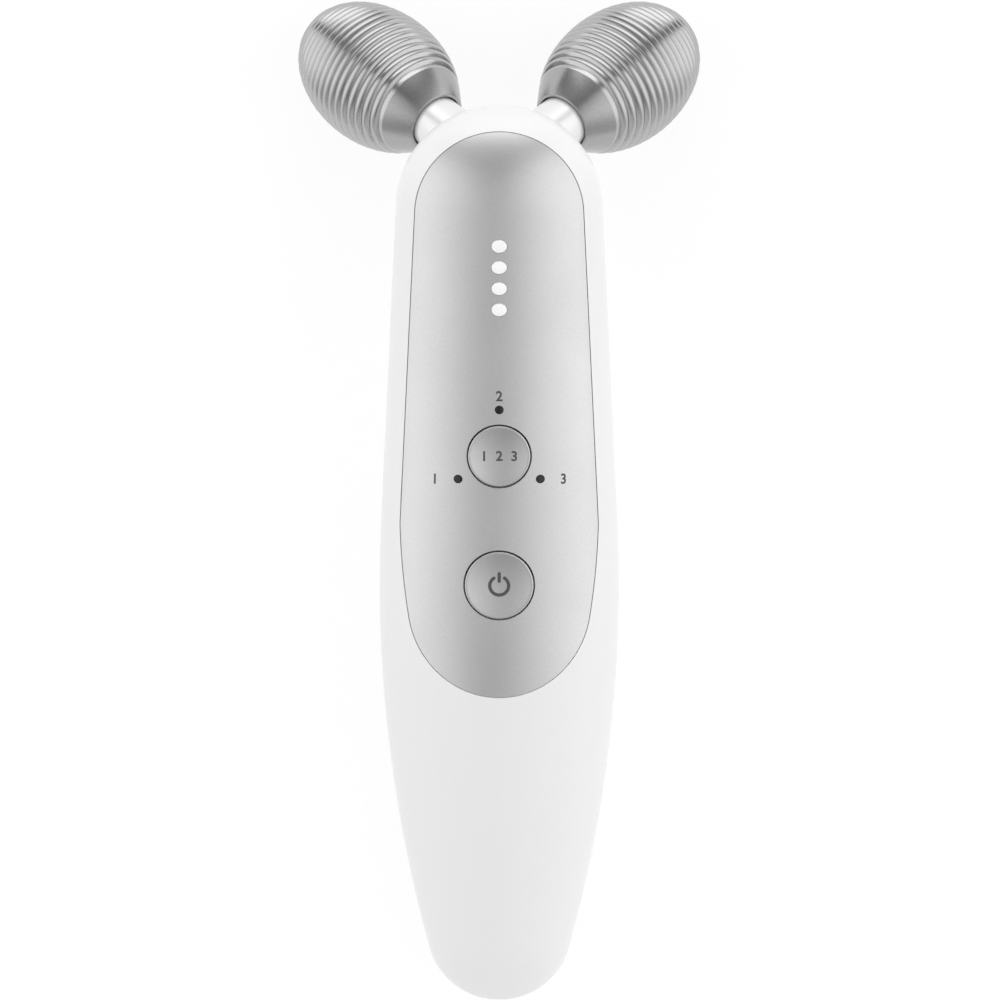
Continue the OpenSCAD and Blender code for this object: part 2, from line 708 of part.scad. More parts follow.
// ---- leads: a smooth run through a few chosen points ----
lead_radius = 0.5;
lead_sides = 8;
lead_straight = 8;
charge_lead_x = 6;
function unit(v) = v / norm(v);
function blend(a, b, c, d, t) = 0.5 * (2 * b + (c - a) * t + (2 * a - 5 * b + 4 * c - d) * t ^ 2
    + (3 * b - a - 3 * c + d) * t ^ 3);
function smooth(p, steps) = concat([for (i = [0:len(p) - 2], k = [0:steps - 1])
    blend(p[max(i - 1, 0)], p[i], p[i + 1], p[min(i + 2, len(p) - 1)], k / steps)], [p[len(p) - 1]]);
// square_to is a direction that the run never follows
module lead(route, square_to) {
    run = smooth(route, 4);
    last = len(run) - 1;
    points = [for (i = [0:last]) let (
            way = unit(run[min(i + 1, last)] - run[max(i - 1, 0)]),
            across = unit(cross(way, square_to)),
            other = cross(way, across))
        for (k = [0:lead_sides - 1]) let (a = 360 * k / lead_sides)
            run[i] + lead_radius * (cos(a) * across + sin(a) * other)];
    sides = [for (i = [0:last - 1], k = [0:lead_sides - 1]) let (next = (k + 1) % lead_sides)
        [i * lead_sides + k, i * lead_sides + next, (i + 1) * lead_sides + next, (i + 1) * lead_sides + k]];
    start = [for (k = [lead_sides - 1:-1:0]) k];
    end = [for (k = [0:lead_sides - 1]) last * lead_sides + k];
    polyhedron(points, concat(sides, [start], [end]), convexity = 6);
}
// from the board's underside into the frame's open bores, to the inner ends of the axles
module output_leads() color("crimson") in_rest_pose() for (x = [-1, 1])
    lead([[4 * x, board_end_at - 3, board_height - lead_radius], [4 * x, board_end_at - 0.5, 0.7],
        [2.6 * x, junction.y - 3, 0.3], [1.3 * x, junction.y - 0.3, junction.z + 0.8],
        [1.6 * x, junction.y + 0.8, junction.z - 1.6],
        junction + (axle_start - 0.1) * [axis_out.x * x, axis_out.y, axis_out.z]], [1, 0, 0]);
// from the two ends of the cell to the connector
module battery_leads() color("black") in_rest_pose() {
    plug = [1.5, connector_at - 2.5, board_top + 1.6];
    side_x = (cradle_half + case_screw_x - case_boss_radius) / 2;
    lead([[-2.5, cell_at - lead_radius, cell_height + 1.5], [-2.5, cell_at - 0.8, -1],
        [-2.3, cell_at + 0.5, 2.5], [-plug.x, plug.y - 5.5, plug.z], [-plug.x, plug.y, plug.z]], [1, 0, 0]);
    lead([[1, cell_end_at + lead_radius, cell_height + 1], [3.6, cell_end_at + 1.6, cell_height + 3.5],
        [8, cell_end_at - 0.5, -2], [side_x, cell_end_at - 7, -2.5], [side_x, plug.y + 8.5, -2.5],
        [8.2, plug.y - 4.5, 0.6], [4.5, plug.y - 7, 3.2], [plug.x + 0.3, plug.y - 4.5, plug.z], plug],
        [0, 0, 1]);
}
// from the back of the socket, beside the cell, to the board's underside
module charge_leads() color("firebrick") in_rest_pose() for (x = [-1, 1])
    lead([[1.5 * x, socket_end_at + slip, 0], [2 * x, socket_end_at + lead_straight, -1],
        [4.4 * x, (socket_end_at + cell_at) / 2 + 3, -1], [charge_lead_x * x, cell_at - 3, 0],
        [charge_lead_x * x, board_start_at + 2, board_height - lead_radius]], [1, 0, 0]);

front_shell();
rear_shell();
case_seal();
control_panel();
mode_button();
power_button();
level_light_guide();
mode_light_guide();
main_board();
mode_switch();
power_switch();
mode_plunger();
power_plunger();
level_leds();
mode_leds();
main_chip();
boost_coil();
output_capacitors();
battery_connector();
battery_cell();
battery_cradle();
battery_pad();
charge_socket();
neck_frame();
left_neck_sleeve();
right_neck_sleeve();
left_axle();
right_axle();
left_ribbed_shell();
right_ribbed_shell();
left_roller_collar();
right_roller_collar();
left_bearing_sleeve();
right_bearing_sleeve();
left_inner_bush();
right_inner_bush();
left_outer_bush();
right_outer_bush();
left_thrust_washer();
right_thrust_washer();
left_axle_clip();
right_axle_clip();
case_screws();
board_screws();
frame_screws();
output_leads();
battery_leads();
charge_leads();
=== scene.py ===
import json
import math

import bmesh
import bpy
from mathutils import Matrix, Vector


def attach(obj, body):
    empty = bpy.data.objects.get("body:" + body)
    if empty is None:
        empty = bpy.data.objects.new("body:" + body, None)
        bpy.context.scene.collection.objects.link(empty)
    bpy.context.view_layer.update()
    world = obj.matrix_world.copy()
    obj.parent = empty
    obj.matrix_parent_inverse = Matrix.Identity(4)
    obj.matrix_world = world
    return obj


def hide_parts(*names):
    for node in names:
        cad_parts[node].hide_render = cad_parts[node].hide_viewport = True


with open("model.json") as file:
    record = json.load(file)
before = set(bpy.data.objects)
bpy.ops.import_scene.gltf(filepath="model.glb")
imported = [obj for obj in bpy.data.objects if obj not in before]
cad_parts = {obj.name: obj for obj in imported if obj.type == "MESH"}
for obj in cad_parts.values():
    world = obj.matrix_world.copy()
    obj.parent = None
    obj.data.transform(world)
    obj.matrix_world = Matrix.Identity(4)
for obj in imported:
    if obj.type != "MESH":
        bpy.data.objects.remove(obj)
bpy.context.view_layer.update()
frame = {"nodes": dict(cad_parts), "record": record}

nodes = frame["nodes"]

# ------------------------------------------------------------------------------------------------
# Sizes in millimetres, as in the part's source. y runs from the tail tip to the head, z from the
# parting plane towards the controls.
# ------------------------------------------------------------------------------------------------
BODY_LENGTH = 183.5
HALF_WIDTH = 24
WIDEST_AT = BODY_LENGTH - 98
TAIL_RADIUS = 14.5
HEAD_RADIUS = 20.7
FRONT_DEPTH = 14.4
REAR_DEPTH = 16.8
WALL = 2.2
HAIR = 0.01

PANEL_MARGIN = 3.7
PANEL_THICKNESS = 0.9
PANEL_END_AT = BODY_LENGTH - 118.3
PANEL_END_RADIUS = 18.4
PANEL_HALF_WIDTH = 20
PANEL_WIDEST_AT = BODY_LENGTH - 80
PANEL_GAP = 0.15
SKIN = 0.05

MODE_AT = BODY_LENGTH - 68.8
MODE_RADIUS = 6.2
POWER_AT = BODY_LENGTH - 95.1
POWER_RADIUS = 6.85
BUTTON_GAP = 0.35
BUTTON_DROP = 0.1
DISH_DEPTH = 0.55
DISH_EDGE = 0.3

LEVEL_LIGHTS_AT = [BODY_LENGTH - 32.5 + 4.3 * k for k in (-1.5, -0.5, 0.5, 1.5)]
LEVEL_LIGHT = (1.55, 1.3)
MODE_LIGHT_RADIUS = 0.8
MODE_LIGHT_REACH = 9.5

ROLLER_HALF_LENGTH = 20
ROLLER_RADIUS = 13.65
MOUTH_RADIUS = 6.4
MOUTH_TO_CENTRE = 19.2
COLLAR_LENGTH = 5.2
RIB_PITCH = 1.8
GROOVE_DEPTH = 0.5
ROLLER_TIP = 2.5
ROLLER_WALL = 2.2
MOUTH_WALL = 0.62
MOUTH_DEPTH = 3.4
BEARING_RADIUS = 4.6

JUNCTION = Vector((0, BODY_LENGTH - 13.8, -2))
SPLAY = 37.1
LEAN = 65.8
NECK_LENGTH = 20.8
NECK_RADIUS = 5.5
NECK_BORE = 3.55
SLEEVE_START = 8
SLEEVE_END = NECK_LENGTH + MOUTH_DEPTH - 0.5

PLUG_HOLE_RADIUS = 2.05
NOSE_ROOM = (3.3, 2.3)

# how the device lies on the table
TILT = 12.5291
LIFT = 7.25005
SHIFT = -100.187

REST = (Matrix.Scale(0.001, 4) @ Matrix.Translation((0, SHIFT, LIFT))
        @ Matrix.Rotation(math.radians(TILT), 4, "X"))


def neck(side):
    """From places along a roller's axis (z, from where the two axes meet) to the body's frame."""
    return (Matrix.Translation(JUNCTION) @ Matrix.Rotation(math.radians(-90 - LEAN), 4, "X")
            @ Matrix.Rotation(math.radians(side * SPLAY), 4, "Y"))


# ------------------------------------------------------------------------------------------------
# Bench tools: each works on the active object, as by hand
# ------------------------------------------------------------------------------------------------
def take(piece):
    bpy.ops.object.select_all(action="DESELECT")
    piece.select_set(True)
    bpy.context.view_layer.objects.active = piece
    return piece


def added(name):
    piece = bpy.context.active_object
    piece.name = name
    piece.data.name = name
    return piece


def pick(kind, test):
    """Selects the vertices, edges or faces of the mesh in edit mode that pass a test."""
    piece = bpy.context.active_object
    mesh = bmesh.from_edit_mesh(piece.data)
    bpy.ops.mesh.select_all(action="DESELECT")
    bpy.ops.mesh.select_mode(type={"verts": "VERT", "edges": "EDGE", "faces": "FACE"}[kind])
    for part in getattr(mesh, kind):
        part.select_set(bool(test(part)))
    bmesh.update_edit_mesh(piece.data)


def draw_line(name, points):
    """A chain of edges, drawn from one vertex by extruding it from point to point."""
    bpy.ops.object.select_all(action="DESELECT")
    bpy.ops.mesh.primitive_plane_add(size=1, location=(0, 0, 0))
    piece = added(name)
    bpy.ops.object.mode_set(mode="EDIT")
    bpy.ops.mesh.select_mode(type="VERT")
    bpy.ops.mesh.merge(type="CENTER")
    bpy.ops.transform.translate(value=points[0])
    for a, b in zip(points, points[1:]):
        bpy.ops.mesh.extrude_vertices_move(TRANSFORM_OT_translate={"value": Vector(b) - Vector(a)})
    return piece


def clean():
    bpy.ops.mesh.select_all(action="SELECT")
    bpy.ops.mesh.remove_doubles(threshold=0.0005)
    bpy.ops.mesh.normals_make_consistent(inside=False)


def turn(name, outline, steps=128, about="Z"):
    """A turned piece: its outline, as (radius, height) pairs, spun once round the axis."""
    points = [(r, 0, h) if about == "Z" else (r, h, 0) for r, h in outline]
    piece = draw_line(name, points)
    bpy.ops.mesh.select_all(action="SELECT")
    bpy.ops.mesh.spin(steps=steps, angle=2 * math.pi, center=(0, 0, 0),
                      axis=(0, 0, 1) if about == "Z" else (0, 1, 0))
    clean()
    bpy.ops.object.mode_set(mode="OBJECT")
    return piece


def block(name, outline, low, high):
    """A block of the given outline, as (x, y) pairs, extruded straight up."""
    piece = draw_line(name, [(x, y, low) for x, y in outline])
    bpy.ops.mesh.select_all(action="SELECT")
    bpy.ops.mesh.edge_face_add()
    bpy.ops.mesh.extrude_region_move(TRANSFORM_OT_translate={"value": (0, 0, high - low)})
    clean()
    bpy.ops.object.mode_set(mode="OBJECT")
    return piece


def rod(radius, low, high, at=(0, 0), width=None, sides=64, name="rod"):
    """A round rod along z, or an oval one where a second radius is given."""
    bpy.ops.object.select_all(action="DESELECT")
    bpy.ops.mesh.primitive_cylinder_add(vertices=sides, radius=1, depth=high - low,
                                        location=(at[0], at[1], (low + high) / 2))
    piece = added(name)
    piece.scale = (radius, width or radius, 1)
    bpy.ops.object.transform_apply(location=True, rotation=True, scale=True)
    return piece


def cut(piece, tool, how="DIFFERENCE"):
    take(piece)
    boolean = piece.modifiers.new("cut", "BOOLEAN")
    boolean.operation = how
    boolean.solver = "EXACT"
    boolean.object = tool
    bpy.ops.object.modifier_apply(modifier=boolean.name)
    bpy.data.objects.remove(tool)
    return piece


def soften(piece, width, segments=2, angle=30):
    """Rounds the sharp edges a little, as a moulded or pressed piece has them."""
    take(piece)
    bpy.ops.object.mode_set(mode="EDIT")
    bpy.ops.mesh.select_mode(type="VERT")
    bpy.ops.mesh.select_all(action="SELECT")
    bpy.ops.mesh.remove_doubles(threshold=width / 3)
    bpy.ops.mesh.dissolve_degenerate(threshold=0.001)
    bpy.ops.object.mode_set(mode="OBJECT")
    bevel = piece.modifiers.new("soften", "BEVEL")
    bevel.width = width
    bevel.segments = segments
    bevel.limit_method = "ANGLE"
    bevel.angle_limit = math.radians(angle)
    bevel.use_clamp_overlap = True
    bpy.ops.object.modifier_apply(modifier=bevel.name)
    return piece


def join(piece, *others):
    take(piece)
    for other in others:
        other.select_set(True)
    bpy.ops.object.join()
    return piece


def smooth(piece, angle=35):
    take(piece)
    bpy.ops.object.shade_smooth_by_angle(angle=math.radians(angle))
    return piece


def polish(piece, form):
    """Takes the shading of the outside from the uncut form, so that cuts leave no streaks in it."""
    smooth(piece, 50)
    outside = piece.vertex_groups.new(name="outside")
    near = [v.index for v in piece.data.vertices
            if (form.closest_point_on_mesh(v.co)[1] - v.co).length < HAIR / 2]
    outside.add(near, 1.0, "REPLACE")
    carry = piece.modifiers.new("carry", "DATA_TRANSFER")
    carry.object = form
    carry.use_loop_data = True
    carry.data_types_loops = {"CUSTOM_NORMAL"}
    carry.loop_mapping = "POLYINTERP_NEAREST"
    carry.vertex_group = outside.name
    bpy.ops.object.modifier_apply(modifier=carry.name)
    piece.vertex_groups.clear()
    return piece


def settle(piece, material, body, place=None, replaces=()):
    """Puts a finished piece in its place, in metres, and says what it is made of and rides on."""
    take(piece)
    piece.matrix_world = REST @ place if place else REST
    bpy.ops.object.transform_apply(location=True, rotation=True, scale=True)
    piece.data.materials.clear()
    piece.data.materials.append(material)
    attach(piece, body)
    if replaces:
        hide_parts(*replaces)
    return piece


# ------------------------------------------------------------------------------------------------
# Shapes of the body
# ------------------------------------------------------------------------------------------------
def arc(centre, radius, start, end, steps):
    turns = [math.radians(start + (end - start) * i / steps) for i in range(steps + 1)]
    return [(centre[0] + radius * math.cos(t), centre[1] + radius * math.sin(t)) for t in turns]


def side_arc_radius(end_radius, run, half_width):
    return (run ** 2 + half_width ** 2 - end_radius ** 2) / (2 * (half_width - end_radius))


SIDE_RADIUS = side_arc_radius(TAIL_RADIUS, WIDEST_AT - TAIL_RADIUS, HALF_WIDTH)
SIDE_CENTRE = (HALF_WIDTH - SIDE_RADIUS, WIDEST_AT)
HEAD_CENTRE = (0, BODY_LENGTH - HEAD_RADIUS)
TAIL_TURN = math.degrees(math.atan2(TAIL_RADIUS - WIDEST_AT, SIDE_RADIUS - HALF_WIDTH))
TAPER = (HALF_WIDTH - SIDE_RADIUS, WIDEST_AT - HEAD_CENTRE[1])
TAPER_TURN = (math.degrees(math.atan2(TAPER[1], TAPER[0]))
              + math.degrees(math.acos((HEAD_RADIUS - SIDE_RADIUS) / math.hypot(*TAPER))))
TAPER_TURN -= 360 if TAPER_TURN > 180 else 0


def body_side(inset):
    low = (arc((0, TAIL_RADIUS), TAIL_RADIUS - inset, -90, TAIL_TURN, 22)
           + arc(SIDE_CENTRE, SIDE_RADIUS - inset, TAIL_TURN, TAPER_TURN, 30)[1:])
    high = arc(HEAD_CENTRE, HEAD_RADIUS - inset, TAPER_TURN, 90, 26)
    start, end = Vector(low[-1]), Vector(high[0])
    return low + [tuple(start.lerp(end, i / 12)) for i in range(1, 12)] + high


def half_width_at(y):
    if y < TAIL_RADIUS + TAIL_RADIUS * math.sin(math.radians(TAIL_TURN)):
        return math.sqrt(max(0, TAIL_RADIUS ** 2 - (TAIL_RADIUS - y) ** 2))
    taper = math.radians(TAPER_TURN)
    if y < WIDEST_AT + SIDE_RADIUS * math.sin(taper):
        return SIDE_CENTRE[0] + math.sqrt(SIDE_RADIUS ** 2 - (y - WIDEST_AT) ** 2)
    if y < HEAD_CENTRE[1] + HEAD_RADIUS * math.sin(taper):
        return (HEAD_RADIUS - (y - HEAD_CENTRE[1]) * math.sin(taper)) / math.cos(taper)
    return math.sqrt(max(0, HEAD_RADIUS ** 2 - (y - HEAD_CENTRE[1]) ** 2))


def front_height(x, y):
    return FRONT_DEPTH / HALF_WIDTH * math.sqrt(max(0, half_width_at(y) ** 2 - x ** 2))


def egg(name, inset, depth, steps=144):
    """The body's whole form, drawn in by an inset."""
    inset += HAIR
    piece = turn(name, body_side(inset), steps, about="Y")
    bpy.ops.object.mode_set(mode="EDIT")
    bpy.ops.mesh.select_all(action="SELECT")
    flatten = (depth - inset) / (HALF_WIDTH - inset)
    bpy.ops.transform.resize(value=(1, 1, flatten), center_override=(0, 0, 0))
    bpy.ops.object.mode_set(mode="OBJECT")
    return piece


def half_shell(name, depth, wall, front):
    """Half the body as a shell: the whole form, hollowed, with the other half cut away."""
    piece = egg(name, 0, depth)
    hollow = egg("hollow", wall, depth)
    bpy.ops.object.mode_set(mode="EDIT")
    bpy.ops.mesh.select_all(action="SELECT")
    bpy.ops.mesh.flip_normals()
    bpy.ops.object.mode_set(mode="OBJECT")
    join(piece, hollow)
    room = HALF_WIDTH + 6
    other_half = [(-room, -6), (room, -6), (room, BODY_LENGTH + 6), (-room, BODY_LENGTH + 6)]
    return cut(piece, block("other_half", other_half, *((-room, 0) if front else (0, room))))


def panel_side(inset):
    run = PANEL_WIDEST_AT - PANEL_END_AT - PANEL_END_RADIUS
    radius = side_arc_radius(PANEL_END_RADIUS, run, PANEL_HALF_WIDTH)
    centre = (PANEL_HALF_WIDTH - radius, PANEL_WIDEST_AT)
    bend = math.degrees(math.atan2(-run, radius - PANEL_HALF_WIDTH))
    return (arc((0, PANEL_END_AT + PANEL_END_RADIUS), PANEL_END_RADIUS - inset, -90, bend, 40)
            + arc(centre, radius - inset, bend, 0, 24)[1:]
            + [(PANEL_HALF_WIDTH - inset, BODY_LENGTH)])


def both_sides(points):
    return points + [(-x, y) for x, y in reversed(points) if abs(x) > 1e-6]


def panel_block(inset, low, high):
    piece = block("panel_block", both_sides(panel_side(inset)), low, high)
    inside = block("outline", both_sides(body_side(PANEL_MARGIN + inset)), low - 1, high + 1)
    return cut(piece, inside, "INTERSECT")


def control_holes(piece):
    holes = [rod(radius + BUTTON_GAP, 0, 30, (0, at), sides=128)
             for at, radius in ((MODE_AT, MODE_RADIUS), (POWER_AT, POWER_RADIUS))]
    holes += [rod(LEVEL_LIGHT[0] + 0.1, 0, 30, (0, y), width=LEVEL_LIGHT[1] + 0.1) for y in LEVEL_LIGHTS_AT]
    holes += [rod(MODE_LIGHT_RADIUS + 0.1, 0, 30, place, sides=48) for place in mode_lights()]
    return cut(piece, join(*holes))


def mode_lights(first=90):
    return [(MODE_LIGHT_REACH * math.cos(math.radians(a)), MODE_AT + MODE_LIGHT_REACH * math.sin(math.radians(a)))
            for a in (first, first + 120, first + 240)]


# ------------------------------------------------------------------------------------------------
# Material effects, shared by the finishes
# ------------------------------------------------------------------------------------------------
def new_group(name, inputs, outputs):
    group = bpy.data.node_groups.new(name, "ShaderNodeTree")
    for label, kind, value in inputs:
        socket = group.interface.new_socket(label, in_out="INPUT", socket_type=kind)
        if value is not None:
            socket.default_value = value
    for label, kind in outputs:
        group.interface.new_socket(label, in_out="OUTPUT", socket_type=kind)
    return group, group.nodes.new("NodeGroupInput"), group.nodes.new("NodeGroupOutput")


def node(tree, kind, links=None, **settings):
    made = tree.nodes.new(kind)
    for label, value in settings.items():
        setattr(made, label, value)
    for label, value in (links or {}).items():
        if isinstance(value, bpy.types.NodeSocket):
            tree.links.new(value, made.inputs[label])
        else:
            made.inputs[label].default_value = value
    return made


FLOAT, COLOUR, VECTOR = "NodeSocketFloat", "NodeSocketColor", "NodeSocketVector"


def grain_group():
    """Fine grain: a speckle for the colour, and a normal for its relief."""
    group, into, out = new_group(
        "fine_grain",
        [("Scale", FLOAT, 4000.0), ("Relief", FLOAT, 0.1), ("Depth", FLOAT, 0.00002),
         ("Light", COLOUR, (1, 1, 1, 1)), ("Dark", COLOUR, (0, 0, 0, 1))],
        [("Color", COLOUR), ("Normal", VECTOR), ("Mask", FLOAT)])
    place = node(group, "ShaderNodeTexCoord").outputs["Object"]
    noise = node(group, "ShaderNodeTexNoise",
                 {"Vector": place, "Scale": into.outputs["Scale"], "Detail": 3.0, "Roughness": 0.65})
    even = node(group, "ShaderNodeMapRange",
                {"Value": noise.outputs["Fac"], "From Min": 0.3, "From Max": 0.7})
    colour = group.nodes.new("ShaderNodeMix")
    colour.data_type = "RGBA"
    group.links.new(even.outputs["Result"], colour.inputs[0])
    group.links.new(into.outputs["Dark"], colour.inputs[6])
    group.links.new(into.outputs["Light"], colour.inputs[7])
    bump = node(group, "ShaderNodeBump",
                {"Strength": into.outputs["Relief"], "Distance": into.outputs["Depth"],
                 "Height": noise.outputs["Fac"]})
    group.links.new(colour.outputs[2], out.inputs["Color"])
    group.links.new(bump.outputs["Normal"], out.inputs["Normal"])
    group.links.new(even.outputs["Result"], out.inputs["Mask"])
    return group


def drift_group():
    """Slow drift of a value over the surface, such as handling marks on a gloss."""
    group, into, out = new_group(
        "slow_drift",
        [("Scale", FLOAT, 60.0), ("Low", FLOAT, 0.3), ("High", FLOAT, 0.4)], [("Value", FLOAT)])
    place = node(group, "ShaderNodeTexCoord").outputs["Object"]
    noise = node(group, "ShaderNodeTexNoise", {"Vector": place, "Scale": into.outputs["Scale"], "Detail": 4.0})
    spread = node(group, "ShaderNodeMapRange",
                  {"Value": noise.outputs["Fac"], "From Min": 0.3, "From Max": 0.7,
                   "To Min": into.outputs["Low"], "To Max": into.outputs["High"]})
    group.links.new(spread.outputs["Result"], out.inputs["Value"])
    return group


def turning_group():
    """Fine turning lines round an axis, for lathe-turned metal."""
    group, into, out = new_group(
        "turning_lines",
        [("Axis", VECTOR, (0, 0, 1)), ("Scale", FLOAT, 9000.0), ("Relief", FLOAT, 0.1),
         ("Depth", FLOAT, 0.00001)],
        [("Normal", VECTOR), ("Mask", FLOAT)])
    place = node(group, "ShaderNodeTexCoord").outputs["Object"]
    along = node(group, "ShaderNodeVectorMath", operation="DOT_PRODUCT")
    group.links.new(place, along.inputs[0])
    group.links.new(into.outputs["Axis"], along.inputs[1])
    lines = node(group, "ShaderNodeTexNoise",
                 {"W": along.outputs["Value"], "Scale": into.outputs["Scale"], "Detail": 2.0},
                 noise_dimensions="1D")
    bump = node(group, "ShaderNodeBump",
                {"Strength": into.outputs["Relief"], "Distance": into.outputs["Depth"],
                 "Height": lines.outputs["Fac"]})
    group.links.new(bump.outputs["Normal"], out.inputs["Normal"])
    group.links.new(lines.outputs["Fac"], out.inputs["Mask"])
    return group


GRAIN = grain_group()
DRIFT = drift_group()
TURNING = turning_group()


def use(tree, group, values):
    made = tree.nodes.new("ShaderNodeGroup")
    made.node_tree = group
    for label, value in values.items():
        made.inputs[label].default_value = value
    return made


def grey(level, alpha=1.0):
    return (level, level, level, alpha)


def finish(name, light, dark, rough, grain=(4000.0, 0.1, 0.00002), axis=None, **settings):
    """A finish: grain in colour and relief, a drifting roughness, and turning lines where it was turned."""
    material = bpy.data.materials.new(name)
    material.use_nodes = True
    tree = material.node_tree
    shader = tree.nodes["Principled BSDF"]
    for label, value in settings.items():
        shader.inputs[label.replace("_", " ")].default_value = value
    speckle = use(tree, GRAIN, {"Scale": grain[0], "Relief": grain[1], "Depth": grain[2],
                                "Light": light, "Dark": dark})
    tree.links.new(speckle.outputs["Color"], shader.inputs["Base Color"])
    marks = use(tree, DRIFT, {"Low": rough[0], "High": rough[1]})
    tree.links.new(marks.outputs["Value"], shader.inputs["Roughness"])
    if axis:
        lines = use(tree, TURNING, {"Axis": axis})
        tree.links.new(lines.outputs["Normal"], shader.inputs["Normal"])
    else:
        tree.links.new(speckle.outputs["Normal"], shader.inputs["Normal"])
    return material


def roller_axis(side):
    out = (REST @ neck(side)).to_3x3() @ Vector((0, 0, 1))
    return tuple(out.normalized())


white_shell = finish("white_shell", grey(0.94), grey(0.92), (0.3, 0.36), (2500.0, 0.05, 0.00001),
                     Specular_IOR_Level=0.5)
silver_panel = finish("silver_panel", grey(0.66), grey(0.595), (0.38, 0.44), (3200.0, 0.5, 0.00003),
                      Metallic=1.0)
silver_button = finish("silver_button", grey(0.66), grey(0.585), (0.32, 0.38), (3200.0, 0.4, 0.00003),
                       Metallic=1.0)
# the light guide gets a faint painted glow: its white emission lightens the level windows, which hold no lamp
light_guide = finish("light_guide", grey(0.95), grey(0.93), (0.3, 0.4), Emission_Color=grey(1.0),
                     Emission_Strength=0.12)
dark_window = finish("dark_window", grey(0.006), grey(0.004), (0.15, 0.25))
print_ink = finish("print_ink", grey(0.085), grey(0.07), (0.5, 0.6))
pearl_neck = finish("pearl_neck", grey(0.88), grey(0.86), (0.3, 0.36), (3000.0, 0.03, 0.00001),
                    Metallic=0.35, Coat_Weight=0.5, Coat_Roughness=0.08)
plating, collar_metal = {}, {}
for side, label in ((-1, "left"), (1, "right")):
    plating[side] = finish(f"roller_plating_{label}", grey(0.50), grey(0.43), (0.19, 0.25),
                           axis=roller_axis(side), Metallic=1.0)
    collar_metal[side] = finish(f"collar_plating_{label}", grey(0.45), grey(0.38), (0.22, 0.28),
                                (3200.0, 0.4, 0.00003), Metallic=1.0)

# ------------------------------------------------------------------------------------------------
# Shells and panel
# ------------------------------------------------------------------------------------------------
def socket_way():
    """The plug's way in through the tail, and room for the socket's nose behind it."""
    radius, start = NOSE_ROOM
    return turn("socket_way", [(0, -1), (PLUG_HOLE_RADIUS, -1), (PLUG_HOLE_RADIUS, start), (radius, start),
                               (radius, 7), (0, 7)], 64, about="Y")


front_form = smooth(egg("front_form", 0, FRONT_DEPTH), 180)
rear_form = smooth(egg("rear_form", 0, REAR_DEPTH), 180)

front_shell = half_shell("front_shell_skin", FRONT_DEPTH, WALL, front=True)
recess = panel_block(0, 0, 40)
cut(recess, egg("under_panel", PANEL_THICKNESS + SKIN, FRONT_DEPTH))
cut(front_shell, recess)
control_holes(front_shell)
cut(front_shell, socket_way())
soften(front_shell, 0.12)
polish(front_shell, front_form)
settle(front_shell, white_shell, "handle", replaces=["front_shell"])

rear_shell = half_shell("rear_shell_skin", REAR_DEPTH, WALL, front=False)
cut(rear_shell, socket_way())
for side in (-1, 1):
    hole = rod(NECK_RADIUS + 0.1, SLEEVE_START - 0.5, NECK_LENGTH, sides=128)
    take(hole)
    hole.matrix_world = neck(side)
    bpy.ops.object.transform_apply(location=True, rotation=True, scale=True)
    cut(rear_shell, hole)
soften(rear_shell, 0.12)
polish(rear_shell, rear_form)
settle(rear_shell, white_shell, "handle", replaces=["rear_shell"])

control_panel = half_shell("control_panel_sheet", FRONT_DEPTH, PANEL_THICKNESS, front=True)
cut(control_panel, panel_block(PANEL_GAP, 0, 40), "INTERSECT")
control_holes(control_panel)
soften(control_panel, 0.1)
polish(control_panel, front_form)
settle(control_panel, silver_panel, "handle", replaces=["control_panel"])
bpy.data.objects.remove(front_form)
bpy.data.objects.remove(rear_form)

# ------------------------------------------------------------------------------------------------
# Buttons and lights
# ------------------------------------------------------------------------------------------------
BOARD_TOP = 3.0
SWITCH_TOP = 6.5
PLUNGER_TOP = 7.6
GUIDE_DEPTH = 4.2
FLANGE_GAP = 0.4
FLANGE_THICKNESS = 0.8
FLANGE_WIDTH = 1.1
STEM_RADIUS = 2


def button(name, radius, at, body, node_name):
    top = front_height(0, at) - BUTTON_DROP
    flange_top = top - GUIDE_DEPTH - FLANGE_GAP
    dish_radius = radius - DISH_EDGE
    ball = (dish_radius ** 2 + DISH_DEPTH ** 2) / (2 * DISH_DEPTH)
    dish = [(dish_radius * i / 24, top - DISH_DEPTH + ball - math.sqrt(ball ** 2 - (dish_radius * i / 24) ** 2))
            for i in range(25)]
    edge = arc((radius - 0.18, top - 0.18), 0.18, 80, 0, 5)
    outline = (dish + edge
               + [(radius, top - 1.5), (radius, flange_top), (radius + FLANGE_WIDTH - 0.1, flange_top),
                  (radius + FLANGE_WIDTH, flange_top - 0.1),
                  (radius + FLANGE_WIDTH, flange_top - FLANGE_THICKNESS + 0.1),
                  (radius + FLANGE_WIDTH - 0.1, flange_top - FLANGE_THICKNESS),
                  (STEM_RADIUS, flange_top - FLANGE_THICKNESS), (STEM_RADIUS, PLUNGER_TOP + 0.1),
                  (STEM_RADIUS - 0.1, PLUNGER_TOP), (0, PLUNGER_TOP)])
    piece = turn(name, outline, 128)
    smooth(piece, 30)
    return settle(piece, silver_button, body, Matrix.Translation((0, at, 0)), [node_name])


mode_button = button("mode_button_cap", MODE_RADIUS, MODE_AT, "mode_button", "mode_button")
power_button = button("power_button_cap", POWER_RADIUS, POWER_AT, "power_button", "power_button")

